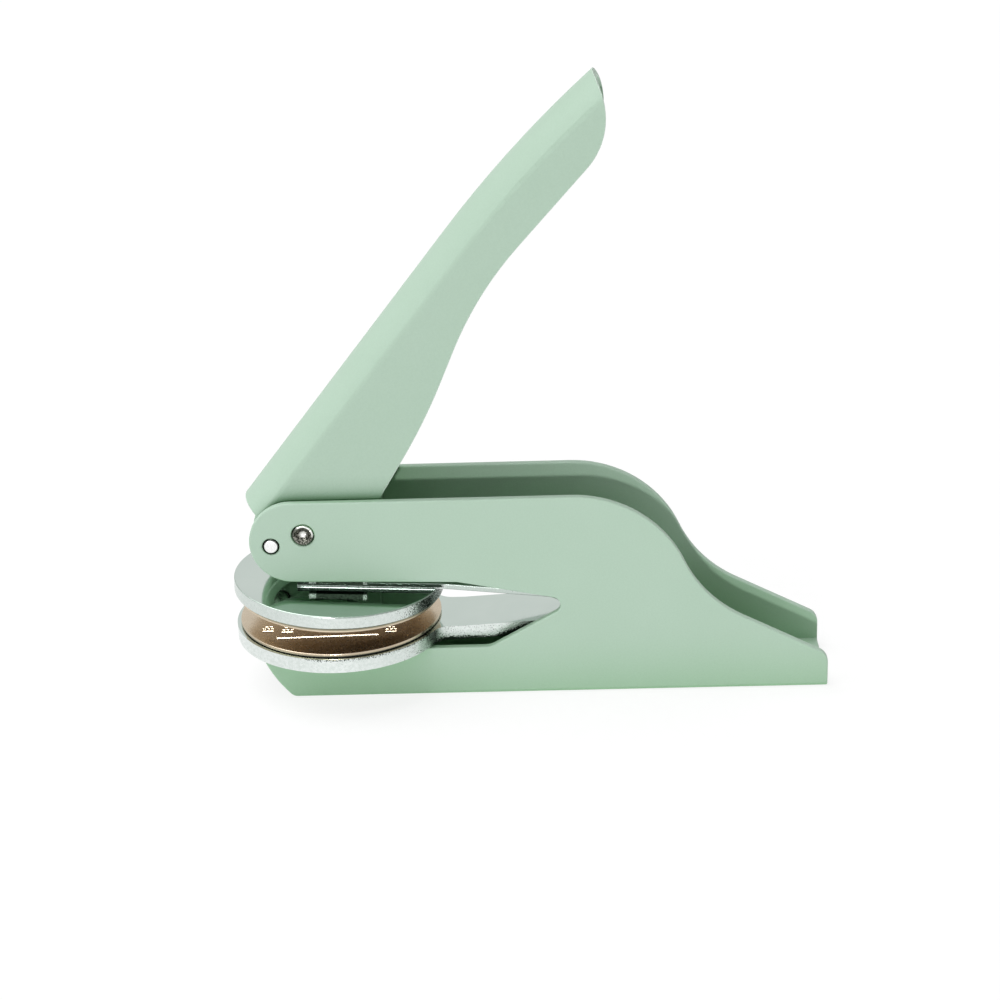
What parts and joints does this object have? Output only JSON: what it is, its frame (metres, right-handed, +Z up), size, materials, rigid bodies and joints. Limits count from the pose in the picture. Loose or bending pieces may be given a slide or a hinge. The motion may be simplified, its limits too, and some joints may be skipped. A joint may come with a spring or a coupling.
{
  "type": "seal embosser",
  "caption": "Hand-press seal embosser: a lever with cams presses a sprung round die onto a fixed die in a slotted sheet-metal frame.",
  "frame": {"origin": "on the resting surface, under the centre of the lower die", "axes": "+Z up, +X from the nose of the frame to its tail, +Y across the cheeks"},
  "size_m": [0.1239, 0.044, 0.1289],
  "materials": {
    "green_paint": "matte light green powder coat",
    "chrome": "bright plate with sheared edges",
    "bronze": "polished dark bronze",
    "dark_pad": "matte black",
    "steel": "turned and bright"
  },
  "bodies": {
    "frame": {"frame_channel": "green_paint", "pivot_rivet": "steel", "pivot_washers": "steel", "stop_pin": "steel", "lower_plate": "chrome", "lower_die_pad": "dark_pad", "lower_die": "bronze", "tail_spacer": "steel", "tail_rivets": "steel", "clip_post": "steel", "clip_screw": "steel", "base_screw": "steel"},
    "lever": {"lever_shell": "green_paint", "pivot_bush": "steel"},
    "upper_jaw": {"upper_disc": "chrome", "upper_die_pad": "dark_pad", "upper_die": "bronze", "arm_rivets": "steel", "press_plate": "steel", "spring_arm": "chrome"}
  },
  "joints": [
    {"name": "lever_hinge", "type": "hinge", "parent": "frame", "child": "lever", "pos_m": [-0.0059, 0, 0.037], "axis": [0, 1, 0], "range_deg": [0, 42], "stiffness_Nm_per_rad": 0.3, "springref_deg": -11.46},
    {"name": "upper_jaw_hinge", "type": "hinge", "parent": "frame", "child": "upper_jaw", "pos_m": [0.0636, 0, 0.01974], "axis": [0, -1, 0], "range_deg": [0, 3.8], "deforming": ["spring_arm"]}
  ],
  "couplings": [
    {"joint": "upper_jaw_hinge", "follows": "lever_hinge", "ratio": 0.0904}
  ]
}
